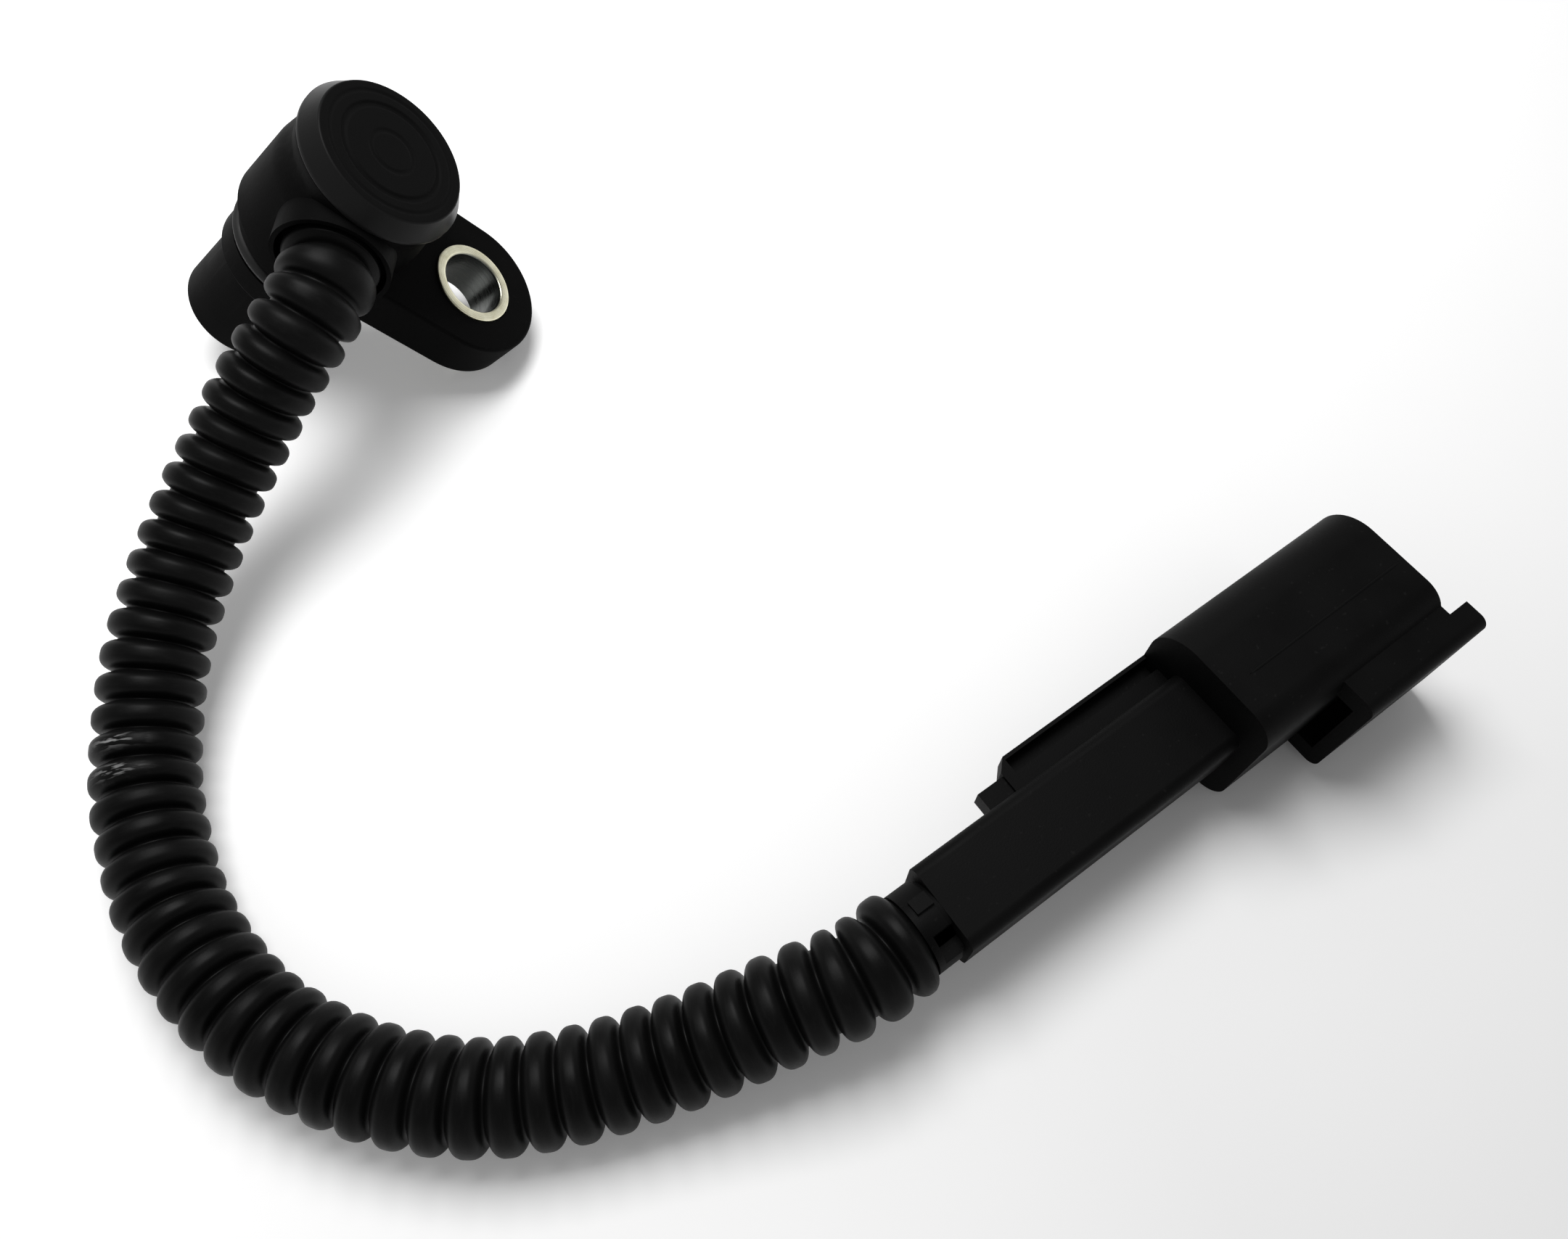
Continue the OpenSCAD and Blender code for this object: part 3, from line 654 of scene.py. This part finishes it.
def streaked_conduit():
    """Clouds of two blacks, blended to a worn grey by marks on the crests and to a pale grey by streaks
    where the kept pale-streak number is large. Marks and streaks are noise over millimetres along and angle
    around."""
    material, tree, shader, place = new_finish("conduit plastic", tube_gloss)
    melt = clouds(tree, place, tube_scale)
    millimetres = maths(tree, "MULTIPLY", measured(tree, "along"), 1 / MM)
    tube_place = add(tree, "CombineXYZ", X=millimetres, Y=measured(tree, "around")).outputs[0]
    marks = spread(tree, noise(tree, tube_place, mark_scale, 5), mark_low, mark_high)
    on_crest = spread(tree, measured(tree, "crest"), worn_crest, 1, 0, worn_share)
    skin = blend(tree, melt, tube_dark, tube_pale)
    worn = blend(tree, maths(tree, "MULTIPLY", marks, on_crest), skin, worn_grey)
    streaks = spread(tree, noise(tree, tube_place, streak_scale, 2), streak_low, streak_high)
    pale_streak = maths(tree, "MULTIPLY", measured(tree, "pale_streak"), streaks)
    wire(tree, blend(tree, pale_streak, worn, pale_streak_grey), shader.inputs["Base Color"])
    dulled = maths(tree, "MULTIPLY", pale_streak, pale_streak_dull)
    rough = maths(tree, "ADD", spread(tree, melt, 0, 1, tube_shine, tube_dull), dulled)
    wire(tree, rough, shader.inputs["Roughness"])
    roughen(tree, shader, noise(tree, place, tube_grain, 2), tube_strength, tube_depth)
    return material


dress(conduit, streaked_conduit())

# %% [markdown]
# The sleeve is steel under thin yellowish zinc, and its bore is painted dark as painted shade. A lathe
# leaves fine rings. They could be modelled, but they are finer than a mesh should be, so a noise is read
# along the distance from the axis and the height only, and is the same all the way round.

# %% Zinc on the steel sleeve
# The bore's dark colour is painted shade.
zinc_pale, zinc_stained, bore_painted_shade = (0.82, 0.80, 0.62, 1), (0.68, 0.65, 0.47, 1), (0.10, 0.105, 0.10, 1)
stain_scale, stain_low, stain_high = 900, 0.35, 0.7
bore_from, bore_to = bolt_hole_r + 0.05 * MM, bolt_hole_r + 0.25 * MM
lathe_scale, lathe_shine, lathe_dull = 14000, 0.2, 0.36
lathe_strength, lathe_depth = 0.4, 0.02 * MM


def turned_zinc():
    """Stains blend two zincs, and the distance from the axis blends them into a painted shade in the bore.
    Noise over distance and height gives the rings of the lathe, in the roughness and in the relief."""
    material, tree, shader, place = new_finish("zinc steel", metal=1.0)
    reach = measured(tree, "reach")
    lathe_place = add(tree, "CombineXYZ", X=reach, Y=measured(tree, "level")).outputs[0]
    rings = noise(tree, lathe_place, lathe_scale, 3)
    stain = spread(tree, noise(tree, place, stain_scale, 4), stain_low, stain_high)
    zinc = blend(tree, stain, zinc_pale, zinc_stained)
    in_bore = spread(tree, reach, bore_from, bore_to, 1, 0)
    wire(tree, blend(tree, in_bore, zinc, bore_painted_shade), shader.inputs["Base Color"])
    wire(tree, spread(tree, rings, 0.3, 0.7, lathe_shine, lathe_dull), shader.inputs["Roughness"])
    roughen(tree, shader, rings, lathe_strength, lathe_depth)
    return material


dress(sleeve, turned_zinc())

# %% [markdown]
# The coil is enamelled copper wire, wound in tight turns. Modelled wire would take hundreds of thousands of
# faces for a piece that is hidden. The height along the coil's axis gives the turns to the finish instead,
# with painted shade in the gaps between them.

# %% Copper wire
wire_pitch = 0.25 * MM
# The copper in the gaps between turns is darkened as painted shade.
gap_painted_shade_copper, crest_copper = (0.28, 0.10, 0.04, 1), (0.68, 0.30, 0.13, 1)
enamel_scale, enamel_shine, enamel_dull = 900, 0.22, 0.34
wire_strength, wire_depth = 0.8, 0.1 * MM


def wound_copper():
    """The sine of the height along the coil's axis gives one round ridge for each turn, and blends the
    copper to a darker painted shade in the gaps between turns.
    """
    material, tree, shader, place = new_finish("copper wire", metal=1.0)
    along_coil = add(tree, "VectorMath", {"operation": "DOT_PRODUCT"})
    wire(tree, place, along_coil.inputs[0])
    along_coil.inputs[1].default_value = tuple(cap_way)
    angle = maths(tree, "MULTIPLY", along_coil.outputs["Value"], 2 * math.pi / wire_pitch)
    turns = spread(tree, maths(tree, "SINE", angle), -1, 1)
    wire(tree, blend(tree, turns, gap_painted_shade_copper, crest_copper), shader.inputs["Base Color"])
    enamel = noise(tree, place, enamel_scale)
    rough = spread(tree, enamel, cloud_low, cloud_high, enamel_shine, enamel_dull)
    wire(tree, rough, shader.inputs["Roughness"])
    roughen(tree, shader, turns, wire_strength, wire_depth)
    return material


copper_wire = wound_copper()
print("Wire turns every", round(wire_pitch / MM, 2), "mm")

# %% [markdown]
# The other pieces are mostly inside: rubber, iron, magnet, bobbin, brass, tin and insulation. Each finish
# drifts between two colours at its own scale, and has the small relief of the way it was made. One function
# serves them all, because they differ only in numbers.

# %% Two drifting colours
drift_dull = 0.07
relief_finer, relief_strength = 6, 0.3


def drifting(name, first, second, rough, scale, relief, metal=0.0, gloss=0.5):
    """Two colours in patches of about 1 / scale metres, duller where the second one is."""
    material, tree, shader, place = new_finish(name, gloss, metal)
    patches = clouds(tree, place, scale)
    wire(tree, blend(tree, patches, (*first, 1), (*second, 1)), shader.inputs["Base Color"])
    roughness = spread(tree, patches, 0, 1, rough - drift_dull, rough + drift_dull)
    wire(tree, roughness, shader.inputs["Roughness"])
    roughen(tree, shader, noise(tree, place, relief_finer * scale, 2), relief_strength, relief)
    return material


fine, coarse, cast = 0.01 * MM, 0.02 * MM, 0.04 * MM
finishes = {
    "seal_rubber": drifting("seal rubber", (0.006, 0.006, 0.006), (0.011, 0.011, 0.011),
                            0.6, 900, fine, gloss=0.3),
    "soft_iron": drifting("soft iron", (0.46, 0.46, 0.47), (0.34, 0.34, 0.35), 0.34, 1200, fine, metal=1.0),
    "magnet_alloy": drifting("magnet alloy", (0.16, 0.16, 0.17), (0.26, 0.26, 0.27),
                             0.5, 2600, cast, metal=1.0),
    "bobbin_plastic": drifting("bobbin plastic", (0.72, 0.67, 0.55), (0.63, 0.58, 0.46), 0.45, 400, fine),
    "copper_wire": copper_wire,
    "terminal_brass": drifting("terminal brass", (0.78, 0.60, 0.27), (0.64, 0.48, 0.22),
                               0.25, 1500, fine, metal=1.0),
    "tinned_blade": drifting("tinned blade", (0.74, 0.73, 0.71), (0.60, 0.60, 0.58),
                             0.24, 1800, fine, metal=1.0),
    "black_insulation": drifting("black insulation", (0.010, 0.010, 0.010), (0.018, 0.018, 0.018),
                                 0.4, 700, fine),
    "brown_insulation": drifting("brown insulation", (0.17, 0.085, 0.045), (0.12, 0.06, 0.03),
                                 0.4, 700, fine),
    "red_silicone": drifting("red silicone", (0.42, 0.10, 0.06), (0.34, 0.07, 0.04),
                             0.6, 800, coarse, gloss=0.3),
}
print("Finishes of inner pieces:", len(finishes))

# %% [markdown]
# The record gives each CAD node the name of its material, so the finishes find their pieces by that name.
# A node that has no finish of its own is moulded plastic.

# %% Dress the seal, the blades and the CAD nodes
dress(seal, finishes["seal_rubber"])
for blade in blades:
    dress(blade, finishes["tinned_blade"])
slots = {part["node"]: part["material_slot"] for part in frame["record"]["subparts"]}
for name, slot in slots.items():
    finish = finishes.get(slot, connector_black)
    for place in nodes[name].material_slots:
        place.material = finish
print("CAD nodes dressed:", len(slots))

# %% [markdown]
# ## Table
# The sensor lies on a white table. It is a plain square with the faintest cloud in its white, so that the
# light on it and the sensor's own soft shadow make the picture. The window lights only the middle of it.
# More lamps would wash out the shadow, so what the camera and the reflections see of the table is lifted
# instead, with the distance from the connector, and it stays white to the horizon.

# %% The table
table_half = 3
table_gloss, table_rough, table_scale = 0.2, 0.7, 40
table_dark, table_pale = grey(0.945), grey(0.965)
lift_middle, lift_from, lift_to = (0.045, -0.135, 0), 0.03, 0.45
near_lift, far_lift = 0.0, 0.73


def level_square(name, half):
    """Four corners at the table's height."""
    side = np.array([-half, half])
    x, y = np.meshgrid(side, side, indexing="ij")
    mesh = bpy.data.meshes.new(name)
    mesh.from_pydata(np.stack([x, y, 0 * x], axis=-1).reshape(-1, 3), [], [(0, 2, 3, 1)])
    piece = bpy.data.objects.new(name, mesh)
    bpy.context.collection.objects.link(piece)
    return piece


def lifted_white():
    """Two whites in clouds. Camera, glossy and transmission rays also see a glow, which grows evenly with
    the distance from the connector, from near_lift to far_lift."""
    material, tree, shader, place = new_finish("table white", table_gloss)
    white_clouds = blend(tree, noise(tree, place, table_scale), table_dark, table_pale)
    wire(tree, white_clouds, shader.inputs["Base Color"])
    shader.inputs["Roughness"].default_value = table_rough
    shader.inputs["Emission Color"].default_value = (1, 1, 1, 1)
    ray = add(tree, "LightPath").outputs
    mirrored = maths(tree, "ADD", ray["Is Glossy Ray"], ray["Is Transmission Ray"])
    seen = maths(tree, "ADD", ray["Is Camera Ray"], mirrored)
    away = add(tree, "VectorMath", {"operation": "DISTANCE"})
    wire(tree, place, away.inputs[0])
    away.inputs[1].default_value = lift_middle
    lift = spread(tree, away.outputs["Value"], lift_from, lift_to, near_lift, far_lift)
    wire(tree, maths(tree, "MULTIPLY", seen, lift), shader.inputs["Emission Strength"])
    return material


table = level_square("table", table_half)
dress(table, lifted_white())

# %% [markdown]
# ## Light
# A white room lights black plastic mostly by reflection. The world lights evenly, but reflections see it
# white near the horizon and darker overhead, which keeps the upper faces black. A picture of a room would
# do the same with less control.

# %% The white room
room_light, white, overhead = 0.29, 1.0, 0.27
horizon_rise, overhead_rise = 0.05, 0.5
world = bpy.data.worlds.new("white room")
bpy.context.scene.world = world
world.use_nodes = True
tree = world.node_tree
background = tree.nodes["Background"]
up = add(tree, "SeparateXYZ", Vector=add(tree, "TexCoord").outputs["Generated"]).outputs["Z"]
ray = add(tree, "LightPath").outputs
seen = maths(tree, "ADD", ray["Is Camera Ray"], ray["Is Transmission Ray"])
behind = maths(tree, "MULTIPLY", seen, white - room_light)
sky = maths(tree, "SUBTRACT", spread(tree, up, horizon_rise, overhead_rise, white, overhead), room_light)
mirrored = maths(tree, "MULTIPLY", ray["Is Glossy Ray"], sky)
strength = maths(tree, "ADD", maths(tree, "ADD", behind, mirrored), room_light)
wire(tree, strength, background.inputs["Strength"])
background.inputs["Color"].default_value = (1, 1, 1, 1)
print("Room light:", room_light)

# %% [markdown]
# One soft window hangs close above the head. A sun would light the whole table alike. Being close, the
# window lights the far end of the table less, and it throws the connector's shadow outwards while the
# head's stays under it. Room and window together light a white surface at about its own colour.

# %% The window
sensor_middle = Vector((0, -0.045, 0))


def window_light(name, toward, distance, size, energy):
    """A square area light at a distance from the sensor's middle, facing it."""
    lamp = bpy.data.lights.new(name, "AREA")
    lamp.shape = "SQUARE"
    lamp.size = size
    lamp.energy = energy
    way = Vector(toward).normalized()
    piece = bpy.data.objects.new(name, lamp)
    piece.location = sensor_middle + distance * way
    piece.rotation_euler = way.to_track_quat("Z", "Y").to_euler()
    bpy.context.collection.objects.link(piece)
    print(name, "of", energy, "W at", [round(value, 2) for value in piece.location])


window_light("window", toward=(0.035, 0.075, 0.26), distance=0.274, size=0.15, energy=0.69)
bpy.context.scene.view_settings.view_transform = "Standard"
